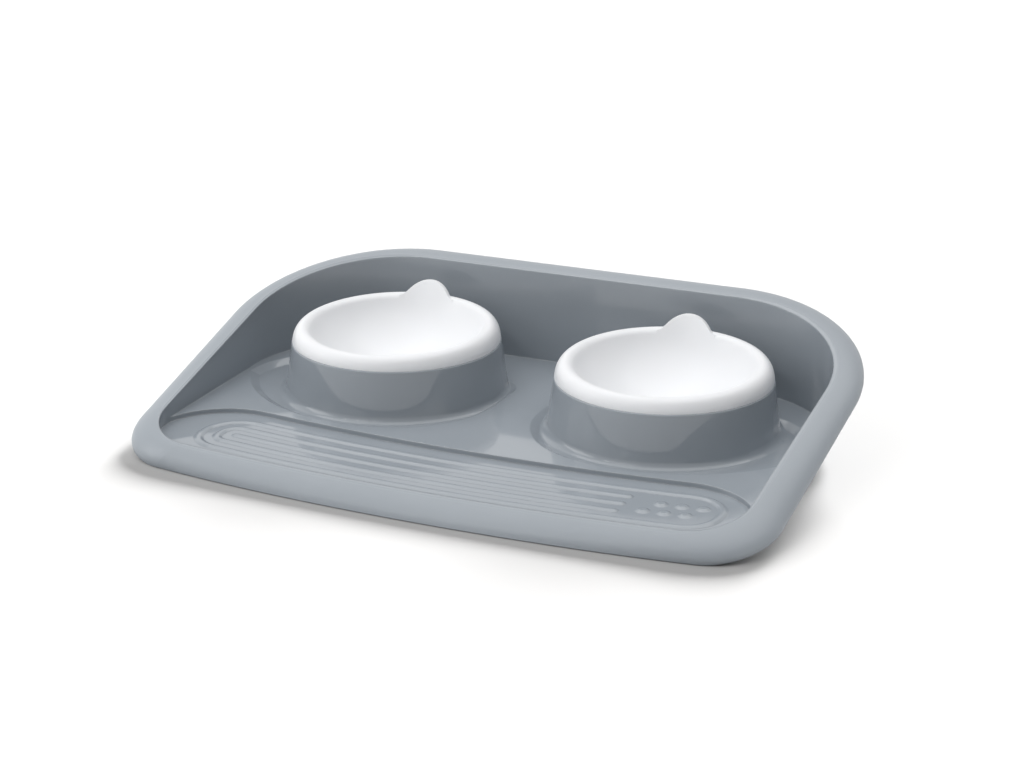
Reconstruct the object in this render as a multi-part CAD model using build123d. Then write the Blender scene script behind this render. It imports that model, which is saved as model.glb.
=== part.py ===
from build123d import *
from math import atan, cos, degrees, radians, sin, sqrt, tan
import os

# Layout, in millimetres: +Z up, front towards -Y, ground at z = 0
BOWL_X = 91.6  # half the distance between the two bowl centres
BOWL_Y = 35.8  # bowl centres behind the middle of the tray
WALL = 2.5  # thickness of the tray moulding

# Floor levels of the tray
FLOOR_Z = 14.3  # raised floor around the pedestals
STEP_H = 3.0  # drop into the front channel and the wells

# Sloping rim: one inclined plane holds its inner edge
RIM_TILT = 14.1  # degrees, back higher than front
RIM_Z = 53.0  # inner edge beside the bowl centres
SIDE_X = 194.3  # half inside width beside the bowl centres
SIDE_TAPER = 0.0426  # sides widen towards the back
BACK_V = 85.3  # inner back edge behind the bowl centres, along the incline
FRONT_V = 163.7  # inner front edge before the bowl centres, along the incline
RIM_BOW_R = 2000.0  # bow of the inner front edge
BOW_R = 1205.0  # bow of the outer front edge, the step and the ribs
BACK_CORNER_R = 86.0
FRONT_CORNER_R = 34.0
LIP_CORNER_R = 44.0  # front corners along the outer edge
LIP_W = 18.2  # reach of the rolled lip at the sides and the back
LIP_FRONT_W = 18.8  # reach of the rolled lip at the front
LIP_H = 8.3  # drop of the rolled lip below the incline
LIP_DIP = 1.15  # degrees, the outer edge dips more to the front
LIP_CLEAR = 0.6  # front edge of the lip above the ground
LIP_STEPS = 6  # sections that shape the roll
LIP_EASE = 4.0  # rounder corners in the hollow under the lip
WALL_LEAN = 4.0  # degrees, back wall leaning backwards

# Pedestals
SEAT_Z = 43.9  # top of the pedestal, where the bowl rests
SEAT_R = 67.4  # outer radius at the top
PED_DRAFT = 8.0  # degrees
PED_FOOT_R = 5.0  # fillet where the pedestal meets the well
PED_EDGE_R = 1.0  # rounded top edge
PED_SKIRT = 0.5  # flat edge around the fillet

# Wells around the pedestals, wider towards the sides of the tray
WELL_IN_X = 15.0  # inner edge from the middle line
WELL_OUT_X = 190.0  # outer edge
WELL_FRONT = 83.8  # front edge before the bowl centres
WELL_BACK_IN = 31.2  # back edge behind the bowl centres, at its inner and outer ends
WELL_BACK_OUT = 49.2
WELL_IN_R = 70.0  # round corners: inner front, inner back, outer back
WELL_BACK_R = 20.0
WELL_OUT_R = 60.0
WELL_SWEEP_R = 108.2  # wide curve of the outer front
WELL_SWEEP_Y = 25.1  # its centre behind the bowl centre
WELL_SLOPE = 6.0  # width of the sloping edge

# Front channel with ribs and plain dots
STEP_Y = 93.4  # step before the bowl centres, on the middle line
CHANNEL_X = 190.5  # half width of the channel
CHANNEL_CORNER_R = 45.0
RIB_FIRST = 10.5  # first rib before the step
RIB_PITCH = 11.2
RIB_W = 5.8
RIB_H = 0.9
RIB_BEVEL = 0.8  # height and width of the sloping rib sides
RIB_SIDE = 1.9
RIB_END_R = 2.7  # rounded rib ends
RIB_FLAT = 2.0  # half of the straight bit in the turn of a loop
RIB_COUNT = 5
LOOP_LEFT_X = 164.0  # ends of the outer loop from the middle line
LOOP_RIGHT_X = 173.0
RIB_END_X = 116.0  # right end of the inner ribs
DOT_R = 4.2
DOT_PITCH = 12.0
DOT_X = 128.0  # first dot of each row
DOT_COLUMNS = 3
DOT_ROWS = 2

# Bowls
FLANGE_GAP = 0.4  # rim stands in from the pedestal's edge
CREST_IN = 7.5  # top of the rim inside the pedestal's edge
CREST_H = 10.5  # height of the rim above the seat
CREST_TILT = 2.4  # degrees, bowl leaning forward
BODY_GAP = 3.0  # play between the bowl's dish and the opening
BOWL_T = 2.6  # wall of the bowl
BOWL_DEPTH = 21.0  # inside bottom below the seat
ROLL_R = 6.0  # inner round of the rim
TAB_H = 8.5  # tab above the rim
TAB_SINK = 0.5  # flares of the tab below the top of the rim
TAB_TOP_R = 19.0  # round top of the tab
TAB_FLARE_R = 6.0  # hollow curves beside the tab
BOWL_TURN = 6.0  # degrees, both tabs stand a little to the left

# Rubber feet and their sockets
FOOT_FRONT_X = 158.0
FOOT_FRONT_Y = 117.8  # before the bowl centres
FOOT_BACK_X = 148.0
FOOT_BACK_Y = 59.0  # behind the bowl centres
FOOT_R = 8.0
FOOT_H = 4.5
FOOT_GAP = 0.4  # play around a foot in its socket
FOOT_BEVEL = 0.8
SOCKET_T = 2.0
SOCKET_SHELF = 2.0  # shelf that a foot presses against
SOCKET_Z = 1.8  # rim of a socket above the ground

os.makedirs("parts", exist_ok=True)
LOW_Z = FLOOR_Z - STEP_H
BASE_Z = LOW_Z - WALL
PED_R = SEAT_R + (SEAT_Z - LOW_Z) * tan(radians(PED_DRAFT))
SPAN = 3 * SIDE_X  # wider than the tray, for cutting blocks
DEEP = 2 * RIM_Z  # taller than the tray
UP = (Align.CENTER, Align.CENTER, Align.MIN)

# Dish of the bowl: one arc that meets the inner round of the rim; the opening lets it through
crest_r = SEAT_R - CREST_IN
wall_rise = 2 * degrees(atan((CREST_H + BOWL_DEPTH) / crest_r))
dish_r = crest_r / sin(radians(wall_rise)) - ROLL_R
dish_spot = (0, dish_r - BOWL_DEPTH)
HOLE_R = sqrt((dish_r + BOWL_T) ** 2 - (dish_r - BOWL_DEPTH) ** 2) + BODY_GAP
incline = Plane((0, BOWL_Y, RIM_Z), (1, 0, 0), (0, -sin(radians(RIM_TILT)), cos(radians(RIM_TILT))))
lean = Vector(0, tan(radians(WALL_LEAN)), 1)


# Rim outline in the inclined plane: tapered sides, straight back, bowed front, round corners
def rim_outline(reach, drop, ease=0):
    grow = reach / LIP_W
    back = BACK_V + reach
    front = -FRONT_V - grow * LIP_FRONT_W
    x_front = SIDE_X - SIDE_TAPER * FRONT_V + reach
    x_back = SIDE_X + SIDE_TAPER * BACK_V + reach
    bow_r = 1 / ((1 - grow) / RIM_BOW_R + grow / BOW_R)
    corner = front + bow_r - sqrt(bow_r**2 - x_front**2)
    loop = [
        Line((-x_back, back), (x_back, back)),
        Line((x_back, back), (x_front, corner)),
        ThreePointArc((x_front, corner), (0, front), (-x_front, corner)),
        Line((-x_front, corner), (-x_back, back)),
    ]
    face = make_face(loop)
    ends = face.vertices().sort_by(Axis.Y)
    face = fillet(ends[2:], BACK_CORNER_R + reach + ease)
    ends = face.vertices().sort_by(Axis.Y)
    face = fillet(ends[:2], FRONT_CORNER_R + grow * (LIP_CORNER_R - FRONT_CORNER_R) + ease)
    return incline.offset(-drop).rotated((grow * LIP_DIP, 0, 0)) * face


# A roll of the lip: outlines stepping outwards and down along a quarter ellipse
def roll(width, height, top, ease):
    rings = []
    for i in range(LIP_STEPS, -1, -1):
        turn = radians(90 * i / LIP_STEPS)
        rings.append(rim_outline(width * sin(turn), top + height * (1 - cos(turn)), ease))
    return loft(rings)


# Flat strip between two arcs that follow the bow of the step, at distances before the step
def bowed_band(near, far, left, right):
    def edge(distance):
        spots = []
        for x in (left, (left + right) / 2, right):
            sag = BOW_R - sqrt(BOW_R**2 - x**2)
            spots.append((x, BOWL_Y - STEP_Y - distance + sag))
        return ThreePointArc(*spots)

    back = edge(near)
    front = edge(far)
    return make_face([back, Line(back @ 1, front @ 1), front, Line(front @ 0, back @ 0)])


# Vertical slice of the ground plan between two heights
def slab(face, low, high):
    return Pos(0, 0, low) * extrude(face, high - low)


# Everything above a height
def above(height):
    return Pos(0, 0, height) * Box(SPAN, SPAN, DEEP, align=UP)


# Feeding tray, walls and rolled rim
inside = extrude(Pos(lean * -DEEP) * rim_outline(0, 0), 1.2 * DEEP * lean.length, dir=lean)
outside = extrude(Pos(lean * -DEEP) * rim_outline(WALL, WALL / 2), DEEP * lean.length, dir=lean)
lip = roll(LIP_W, LIP_H, 0, 0) - inside
lip -= roll(LIP_W - WALL, LIP_H - WALL / 2, WALL, LIP_EASE)
lip &= above(LIP_CLEAR)

# Floor on two levels: raised around the pedestals, lower in the channel and the wells
channel = bowed_band(0, STEP_Y, -CHANNEL_X, CHANNEL_X)
channel = fillet(channel.vertices().sort_by(Axis.Y)[2:], CHANNEL_CORNER_R)
corners = [
    (WELL_IN_X, BOWL_Y - WELL_FRONT),
    (WELL_IN_X, BOWL_Y + WELL_BACK_IN),
    (WELL_OUT_X, BOWL_Y + WELL_BACK_OUT),
    (WELL_OUT_X, BOWL_Y - WELL_FRONT),
]
well = make_face(Polyline(*corners, close=True))
for corner, radius in zip(corners, (WELL_IN_R, WELL_BACK_R, WELL_OUT_R)):
    well = fillet(well.vertices().sort_by_distance(corner)[0], radius)
well &= Pos(BOWL_X, BOWL_Y + WELL_SWEEP_Y) * Circle(WELL_SWEEP_R)
hollow = loft([Pos(0, 0, LOW_Z) * offset(well, -WELL_SLOPE), Pos(0, 0, FLOOR_Z) * well])
hollows = slab(channel, LOW_Z, FLOOR_Z) + hollow + mirror(hollow, Plane.YZ)
floor_under = FLOOR_Z - WALL
under = slab(offset(channel, WALL), BASE_Z, floor_under)
for face in (well, mirror(well, Plane.YZ)):
    under += slab(offset(face, WALL), BASE_Z, floor_under)
pan = (outside & above(floor_under)) + (outside & under)
tray = lip + (pan - (inside & above(FLOOR_Z)) - (inside & hollows))

# Pedestals: hollow cones with a ledge for the bowl's rim
profile = Polyline(
    (PED_R + PED_FOOT_R + PED_SKIRT, BASE_Z),
    (PED_R + PED_FOOT_R + PED_SKIRT, LOW_Z),
    (PED_R, LOW_Z),
    (SEAT_R, SEAT_Z),
    (HOLE_R, SEAT_Z),
    (HOLE_R, SEAT_Z - WALL),
    (SEAT_R - WALL, SEAT_Z - WALL),
    (PED_R - WALL, BASE_Z),
    close=True,
)
section = make_face(profile)
section = fillet(section.vertices().sort_by_distance((PED_R, LOW_Z))[0], PED_FOOT_R)
section = fillet(section.vertices().sort_by_distance((SEAT_R, SEAT_Z))[0], PED_EDGE_R)
cone = revolve(Plane.XZ * section, Axis.Z)
for side in (-1, 1):
    spot = Pos(side * BOWL_X, BOWL_Y, 0)
    tray -= spot * Cylinder(PED_R - WALL / 2, SEAT_Z, align=UP)
    tray += spot * cone

# Ribs of the channel: a closed loop, a hairpin inside it and one middle rib
far_rib = RIB_FIRST + (RIB_COUNT - 1) * RIB_PITCH
raised = []
ring = bowed_band(RIB_FIRST, far_rib + RIB_W, -LOOP_LEFT_X, LOOP_RIGHT_X)
ring = fillet(ring.vertices(), (far_rib + RIB_W - RIB_FIRST) / 2 - RIB_FLAT)
raised.append(ring - offset(ring, -RIB_W))
pin_near = RIB_FIRST + RIB_PITCH
pin_far = far_rib - RIB_PITCH + RIB_W
pin = bowed_band(pin_near, pin_far, RIB_PITCH - LOOP_LEFT_X, RIB_END_X)
pin = fillet(pin.vertices().sort_by(Axis.X)[:2], (pin_far - pin_near) / 2 - RIB_FLAT)
core = offset(pin, -RIB_W) + bowed_band(pin_near + RIB_W, pin_far - RIB_W, 0, RIB_END_X + RIB_W)
pin -= core
raised.append(fillet(pin.vertices().sort_by(Axis.X)[-4:], RIB_END_R))
bar_near = RIB_FIRST + 2 * RIB_PITCH
bar = bowed_band(bar_near, bar_near + RIB_W, 2 * RIB_PITCH - LOOP_LEFT_X, RIB_END_X)
raised.append(fillet(bar.vertices(), RIB_END_R))
for face in raised:
    rib = extrude(face, RIB_H)
    top = rib.faces().sort_by(Axis.Z)[-1]
    rib = chamfer(top.edges(), RIB_SIDE, RIB_BEVEL, reference=top)
    tray += Pos(0, 0, LOW_Z) * rib

# Plain dots in staggered rows at the right end of the ribs
middle = BOWL_Y - STEP_Y - (RIB_FIRST + far_rib + RIB_W) / 2
for row in range(DOT_ROWS):
    for column in range(DOT_COLUMNS):
        x = DOT_X + (column + row / 2) * DOT_PITCH
        y = middle + (row - (DOT_ROWS - 1) / 2) * DOT_PITCH
        sag = BOW_R - sqrt(BOW_R**2 - x**2)
        tray += Pos(x, y + sag, LOW_Z) * Cone(DOT_R, DOT_R - RIB_SIDE, RIB_H, align=UP)

# Sockets under the tray and the rubber feet pressed into them
pad = chamfer(Cylinder(FOOT_R, FOOT_H, align=UP).edges().filter_by(GeomType.CIRCLE), FOOT_BEVEL)
pocket_r = FOOT_R + FOOT_GAP
for end, x, y, level in (
    ("front", FOOT_FRONT_X, BOWL_Y - FOOT_FRONT_Y, LOW_Z),
    ("back", FOOT_BACK_X, BOWL_Y + FOOT_BACK_Y, FLOOR_Z),
):
    socket = Pos(0, 0, SOCKET_Z) * Cylinder(pocket_r + SOCKET_T, level - WALL / 2 - SOCKET_Z, align=UP)
    pocket = Cylinder(pocket_r, FOOT_H, align=UP)
    pocket += Cylinder(FOOT_R - SOCKET_SHELF, level - WALL, align=UP)
    for across, side in (("left", -1), ("right", 1)):
        spot = Pos(side * x, y, 0)
        tray += spot * socket
        tray -= spot * pocket
        export_step(spot * pad, f"parts/foot_{end}_{across}.step")
export_step(tray, "parts/feeding_tray.step")

# Bowl: a turned shell, a dish that turns over into a rolled rim; heights from the seat
rim_r = SEAT_R - FLANGE_GAP
skirt = rim_r * sin(radians(CREST_TILT)) + BOWL_T
roll_spot = (crest_r, CREST_H - ROLL_R)
shell = [
    CenterArc(dish_spot, dish_r, -90, wall_rise),
    CenterArc(roll_spot, ROLL_R, 90, wall_rise),
    EllipticalCenterArc((crest_r, 0), rim_r - crest_r, CREST_H, 0, arc_size=90),
    Polyline((rim_r, 0), (rim_r, -skirt), (rim_r - BOWL_T, -skirt), (rim_r - BOWL_T, 0)),
    EllipticalCenterArc((crest_r, 0), rim_r - BOWL_T - crest_r, CREST_H - BOWL_T, 0, arc_size=90),
    CenterArc(roll_spot, ROLL_R - BOWL_T, 90, wall_rise),
    CenterArc(dish_spot, dish_r + BOWL_T, -90, wall_rise),
    Line((0, -BOWL_DEPTH - BOWL_T), (0, -BOWL_DEPTH)),
]
bowl = revolve(Plane.XZ * make_face(shell), Axis.Z)

# Tab: the dish's wall runs straight on at the back, round on top with hollow curves beside it
tab_z = CREST_H - TAB_SINK
round_z = tab_z + TAB_H - TAB_TOP_R
flare_z = tab_z + TAB_FLARE_R
flare_x = sqrt((TAB_TOP_R + TAB_FLARE_R) ** 2 - (flare_z - round_z) ** 2)
part_way = TAB_TOP_R / (TAB_TOP_R + TAB_FLARE_R)
meet_x = flare_x * part_way
meet_z = round_z + (flare_z - round_z) * part_way
shape = make_face(
    [
        Polyline((-flare_x, tab_z), (-flare_x, 0), (flare_x, 0), (flare_x, tab_z)),
        TangentArc((flare_x, tab_z), (meet_x, meet_z), tangent=(-1, 0)),
        ThreePointArc((meet_x, meet_z), (0, tab_z + TAB_H), (-meet_x, meet_z)),
        TangentArc((-flare_x, tab_z), (-meet_x, meet_z), tangent=(1, 0)),
    ]
)
along = Vector(cos(radians(wall_rise)), sin(radians(wall_rise)))
across = Vector(along.Y, -along.X) * BOWL_T
foot = Vector(*roll_spot) - Vector(along.Y, -along.X) * ROLL_R
tip = foot + along * ((TAB_H + ROLL_R) / along.Y)
wall = make_face(Polyline(foot, foot + across, tip + across, tip, close=True))
bowl += revolve(Plane.XZ * wall, Axis.Z) & extrude(Plane.XZ * shape, -2 * crest_r)

# The bowl leans a little to the front; its rim is cut flat where it rests on the seat
bowl = Rot(CREST_TILT, 0, 0) * bowl
seat_cut = Cylinder(SEAT_R + skirt, 2 * skirt, align=UP) - Cylinder(HOLE_R, 2 * skirt, align=UP)
bowl -= Pos(0, 0, -2 * skirt) * seat_cut
for name, side in (("left_bowl", -1), ("right_bowl", 1)):
    export_step(Pos(side * BOWL_X, BOWL_Y, SEAT_Z) * Rot(0, 0, BOWL_TURN) * bowl, f"parts/{name}.step")
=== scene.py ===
import bpy
import bmesh
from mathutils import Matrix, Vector

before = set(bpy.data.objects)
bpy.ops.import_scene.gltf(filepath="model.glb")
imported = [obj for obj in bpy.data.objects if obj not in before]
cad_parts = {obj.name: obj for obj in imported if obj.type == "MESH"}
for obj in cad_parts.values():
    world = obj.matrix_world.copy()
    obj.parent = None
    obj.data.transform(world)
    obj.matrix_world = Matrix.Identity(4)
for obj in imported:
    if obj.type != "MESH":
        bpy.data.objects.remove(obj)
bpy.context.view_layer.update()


# Feeding tray: one injection moulding in light grey gloss plastic, with the rolled rim, the two
# pedestals and the ribbed channel in one piece. The mould is polished inside the tray and has a
# satin grain on the rolled rim, from the rim's inner edge outwards.
tray_grey = bpy.data.materials.new("grey_gloss_plastic")
tray_grey.use_nodes = True
nodes = tray_grey.node_tree.nodes
links = tray_grey.node_tree.links
shader = nodes["Principled BSDF"]
shader.inputs["IOR"].default_value = 1.5
shader.inputs["Specular IOR Level"].default_value = 0.5
place = nodes.new("ShaderNodeTexCoord")
flow = nodes.new("ShaderNodeTexNoise")
flow.inputs["Scale"].default_value = 9.0
flow.inputs["Detail"].default_value = 3.0
links.new(place.outputs["Object"], flow.inputs["Vector"])
tint = nodes.new("ShaderNodeValToRGB")
tint.color_ramp.elements[0].position = 0.35
tint.color_ramp.elements[0].color = (0.296, 0.327, 0.360, 1)
tint.color_ramp.elements[1].position = 0.65
tint.color_ramp.elements[1].color = (0.312, 0.343, 0.376, 1)
links.new(flow.outputs["Fac"], tint.inputs["Fac"])
links.new(tint.outputs["Color"], shader.inputs["Base Color"])
haze = nodes.new("ShaderNodeTexNoise")
haze.inputs["Scale"].default_value = 38.0
haze.inputs["Detail"].default_value = 4.0
links.new(place.outputs["Object"], haze.inputs["Vector"])
gloss = nodes.new("ShaderNodeMapRange")
gloss.inputs["From Min"].default_value = 0.3
gloss.inputs["From Max"].default_value = 0.7
gloss.inputs["To Min"].default_value = 0.04
gloss.inputs["To Max"].default_value = 0.07
links.new(haze.outputs["Fac"], gloss.inputs["Value"])
half_width = 0.1927  # inner edge of the rim in plan, from the middle of the tray
widening = 0.0439  # sides widen towards the back
back_edge = 0.1185
front_edge = 0.1230
front_bow = 0.2425  # front edge curves back towards its ends
front_round = 0.034  # radii of the corners
back_round = 0.086
satin_start = 0.0006  # the satin begins just outside the inner edge
satin_full = 0.0026
satin_roughness = 0.36
satin_strength = 0.06
edge_round = 0.0015  # edges inside the rim look rounded by this much
round_end = 0.006
sharp_start = 0.009


def calc(operation, *values):
    step = nodes.new("ShaderNodeMath")
    step.operation = operation
    for socket, value in zip(step.inputs, values):
        if isinstance(value, float):
            socket.default_value = value
        else:
            links.new(value, socket)
    return step.outputs["Value"]


plan = nodes.new("ShaderNodeSeparateXYZ")
links.new(place.outputs["Object"], plan.inputs["Vector"])
across = plan.outputs["X"]
along = plan.outputs["Y"]
side_edge = calc("MULTIPLY_ADD", along, widening, half_width)
past_side = calc("SUBTRACT", calc("ABSOLUTE", across), side_edge)
past_back = calc("SUBTRACT", along, back_edge)
bow = calc("MULTIPLY", calc("POWER", calc("ABSOLUTE", across), 2.0), front_bow)
past_front = calc("SUBTRACT", calc("SUBTRACT", bow, front_edge), along)
past_end = calc("MAXIMUM", past_back, past_front)
in_back_half = calc("GREATER_THAN", along, 0.0)
corner = calc("MULTIPLY_ADD", in_back_half, back_round - front_round, front_round)
side_reach = calc("MAXIMUM", calc("ADD", past_side, corner), 0.0)
end_reach = calc("MAXIMUM", calc("ADD", past_end, corner), 0.0)
reach = calc("SQRT", calc("ADD", calc("POWER", side_reach, 2.0), calc("POWER", end_reach, 2.0)))
past_edge = calc("SUBTRACT", reach, corner)
on_rim = nodes.new("ShaderNodeMapRange")
on_rim.inputs["From Min"].default_value = satin_start
on_rim.inputs["From Max"].default_value = satin_full
links.new(past_edge, on_rim.inputs["Value"])
finish = nodes.new("ShaderNodeMix")
finish.inputs["B"].default_value = satin_roughness
links.new(on_rim.outputs["Result"], finish.inputs["Factor"])
links.new(gloss.outputs["Result"], finish.inputs["A"])
links.new(finish.outputs["Result"], shader.inputs["Roughness"])
grain = nodes.new("ShaderNodeTexNoise")
grain.inputs["Scale"].default_value = 700.0
grain.inputs["Detail"].default_value = 2.0
links.new(place.outputs["Object"], grain.inputs["Vector"])
softness = nodes.new("ShaderNodeMapRange")
softness.inputs["From Min"].default_value = round_end
softness.inputs["From Max"].default_value = sharp_start
softness.inputs["To Min"].default_value = edge_round
softness.inputs["To Max"].default_value = 0.0
links.new(past_edge, softness.inputs["Value"])
edges = nodes.new("ShaderNodeBevel")
edges.samples = 8
links.new(softness.outputs["Result"], edges.inputs["Radius"])
relief = nodes.new("ShaderNodeBump")
relief.inputs["Distance"].default_value = 0.0002
links.new(edges.outputs["Normal"], relief.inputs["Normal"])
links.new(calc("MULTIPLY", on_rim.outputs["Result"], satin_strength), relief.inputs["Strength"])
links.new(grain.outputs["Fac"], relief.inputs["Height"])
links.new(relief.outputs["Normal"], shader.inputs["Normal"])
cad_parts["feeding_tray"].material_slots[0].material = tray_grey

# Bowls: two equal round bowls in white plastic with a satin finish, each with a rolled rim and a
# finger tab at the back. They lie loose on the pedestals and lift straight out.
bowl_white = bpy.data.materials.new("white_satin_plastic")
bowl_white.use_nodes = True
nodes = bowl_white.node_tree.nodes
links = bowl_white.node_tree.links
shader = nodes["Principled BSDF"]
shader.inputs["IOR"].default_value = 1.5
shader.inputs["Subsurface Weight"].default_value = 0.25
shader.inputs["Subsurface Radius"].default_value = (1.0, 0.96, 0.92)
shader.inputs["Subsurface Scale"].default_value = 0.003
place = nodes.new("ShaderNodeTexCoord")
cloud = nodes.new("ShaderNodeTexNoise")
cloud.inputs["Scale"].default_value = 14.0
cloud.inputs["Detail"].default_value = 2.0
links.new(place.outputs["Object"], cloud.inputs["Vector"])
tint = nodes.new("ShaderNodeValToRGB")
tint.color_ramp.elements[0].position = 0.3
tint.color_ramp.elements[0].color = (0.826, 0.836, 0.856, 1)
tint.color_ramp.elements[1].position = 0.7
tint.color_ramp.elements[1].color = (0.842, 0.851, 0.869, 1)
links.new(cloud.outputs["Fac"], tint.inputs["Fac"])
links.new(tint.outputs["Color"], shader.inputs["Base Color"])
satin = nodes.new("ShaderNodeTexNoise")
satin.inputs["Scale"].default_value = 420.0
satin.inputs["Detail"].default_value = 2.0
links.new(place.outputs["Object"], satin.inputs["Vector"])
gloss = nodes.new("ShaderNodeMapRange")
gloss.inputs["To Min"].default_value = 0.30
gloss.inputs["To Max"].default_value = 0.38
links.new(satin.outputs["Fac"], gloss.inputs["Value"])
links.new(gloss.outputs["Result"], shader.inputs["Roughness"])
relief = nodes.new("ShaderNodeBump")
relief.inputs["Strength"].default_value = 0.04
relief.inputs["Distance"].default_value = 0.0003
links.new(satin.outputs["Fac"], relief.inputs["Height"])
links.new(relief.outputs["Normal"], shader.inputs["Normal"])
for name in ("left_bowl", "right_bowl"):
    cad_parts[name].material_slots[0].material = bowl_white

# Feet: four round pads of soft dark rubber pressed into sockets under the tray, so that it
# doesn't slide. Their skin is matt and finely grained.
foot_rubber = bpy.data.materials.new("dark_grip_rubber")
foot_rubber.use_nodes = True
nodes = foot_rubber.node_tree.nodes
links = foot_rubber.node_tree.links
shader = nodes["Principled BSDF"]
shader.inputs["Roughness"].default_value = 0.78
place = nodes.new("ShaderNodeTexCoord")
grain = nodes.new("ShaderNodeTexNoise")
grain.inputs["Scale"].default_value = 900.0
grain.inputs["Detail"].default_value = 3.0
links.new(place.outputs["Object"], grain.inputs["Vector"])
tint = nodes.new("ShaderNodeValToRGB")
tint.color_ramp.elements[0].color = (0.045, 0.046, 0.048, 1)
tint.color_ramp.elements[1].color = (0.070, 0.071, 0.074, 1)
links.new(grain.outputs["Fac"], tint.inputs["Fac"])
links.new(tint.outputs["Color"], shader.inputs["Base Color"])
relief = nodes.new("ShaderNodeBump")
relief.inputs["Strength"].default_value = 0.35
relief.inputs["Distance"].default_value = 0.0004
links.new(grain.outputs["Fac"], relief.inputs["Height"])
links.new(relief.outputs["Normal"], shader.inputs["Normal"])
for end in ("front", "back"):
    for side in ("left", "right"):
        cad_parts[f"foot_{end}_{side}"].material_slots[0].material = foot_rubber

# Studio floor: a plain sheet of pale paper under the object, lit by a low lamp of its own from
# behind. That lamp reaches the floor only, makes it white and draws the soft shadow before the tray.
floor_half = 8.0
floor_travel = Vector((0.03, -0.92, -0.36))
floor_mesh = bpy.data.meshes.new("studio_floor")
sheet = bmesh.new()
bmesh.ops.create_grid(sheet, x_segments=1, y_segments=1, size=floor_half)
sheet.to_mesh(floor_mesh)
sheet.free()
floor = bpy.data.objects.new("studio_floor", floor_mesh)
bpy.context.scene.collection.objects.link(floor)
floor_white = bpy.data.materials.new("white_paper")
floor_white.use_nodes = True
paper = floor_white.node_tree.nodes["Principled BSDF"]
paper.inputs["Base Color"].default_value = (0.70, 0.695, 0.69, 1)
paper.inputs["Roughness"].default_value = 1.0
paper.inputs["Specular IOR Level"].default_value = 0.0
floor_mesh.materials.append(floor_white)
only_floor = bpy.data.collections.new("only_floor")
only_floor.objects.link(floor)
all_but_floor = bpy.data.collections.new("all_but_floor")
all_but_floor.objects.link(floor)
all_but_floor.collection_objects[0].light_linking.link_state = "EXCLUDE"
floor_light = bpy.data.lights.new("floor_light", "SUN")
floor_light.energy = 9.4
floor_light.angle = 0.42
floor_lamp = bpy.data.objects.new("floor_light", floor_light)
bpy.context.scene.collection.objects.link(floor_lamp)
floor_lamp.rotation_euler = floor_travel.to_track_quat("-Z", "Y").to_euler()
floor_lamp.light_linking.receiver_collection = only_floor

# Studio surroundings: plain white walls and ceiling all round. They are white to the eye and in
# reflections, give less than that as a light, and are dimmer at the right than at the left.
wall_light = 0.40
light_slope = -0.26  # change of that light from the middle to the right
world = bpy.data.worlds.new("studio")
bpy.context.scene.world = world
world.use_nodes = True
nodes = world.node_tree.nodes
links = world.node_tree.links
seen = nodes.new("ShaderNodeLightPath")
seen_or_mirrored = calc("MAXIMUM", seen.outputs["Is Camera Ray"], seen.outputs["Is Glossy Ray"])
any_sight = calc("MAXIMUM", seen_or_mirrored, seen.outputs["Is Transmission Ray"])
sky = nodes.new("ShaderNodeTexCoord")
toward = nodes.new("ShaderNodeSeparateXYZ")
links.new(sky.outputs["Generated"], toward.inputs["Vector"])
level = nodes.new("ShaderNodeMapRange")
links.new(calc("MULTIPLY_ADD", toward.outputs["X"], light_slope, wall_light), level.inputs["To Min"])
level.inputs["To Max"].default_value = 1.0
links.new(any_sight, level.inputs["Value"])
links.new(level.outputs["Result"], nodes["Background"].inputs["Strength"])
nodes["Background"].inputs["Color"].default_value = (1, 1, 1, 1)

# Studio lamps: a very wide, soft top light from the back left that leaves the floor out, a soft box
# at the left that fills, and a long narrow box at the front left that draws the short highlights.
top_travel = Vector((0.06, -0.14, -0.98))
top_light = bpy.data.lights.new("top_light", "SUN")
top_light.energy = 1.74
top_light.angle = 1.3
top_lamp = bpy.data.objects.new("top_light", top_light)
bpy.context.scene.collection.objects.link(top_lamp)
top_lamp.light_linking.receiver_collection = all_but_floor
top_lamp.rotation_euler = top_travel.to_track_quat("-Z", "Y").to_euler()
left_box = bpy.data.lights.new("left_box", "AREA")
left_box.size = 0.8
left_box.energy = 4.6
long_box = bpy.data.lights.new("long_box", "AREA")
long_box.shape = "RECTANGLE"
long_box.size = 0.90
long_box.size_y = 0.06
long_box.energy = 2.4
for box, spot in ((left_box, Vector((-1.4, -0.6, 0.8))), (long_box, Vector((-0.45, -1.05, 1.2)))):
    box_lamp = bpy.data.objects.new(box.name, box)
    bpy.context.scene.collection.objects.link(box_lamp)
    box_lamp.location = spot
    box_lamp.rotation_euler = (-spot).to_track_quat("-Z", "Y").to_euler()

# Camera: a long lens from the front right, a little above the tray, fitted to the rim, the step and
# the bowl rings in the photograph. It has no shift and no depth of field.
camera_place = Vector((0.50429, -1.09275, 0.46046))
camera_target = Vector((-0.03575, 0.09191, 0.0028))
camera_data = bpy.data.cameras.new("photo_camera")
camera_data.lens = 73.24
camera_data.sensor_width = 36.0
camera_data.clip_end = 30.0
camera = bpy.data.objects.new("photo_camera", camera_data)
bpy.context.scene.collection.objects.link(camera)
camera.location = camera_place
camera.rotation_euler = (camera_target - camera_place).to_track_quat("-Z", "Y").to_euler()
bpy.context.scene.camera = camera
bpy.context.scene.view_settings.view_transform = "Standard"
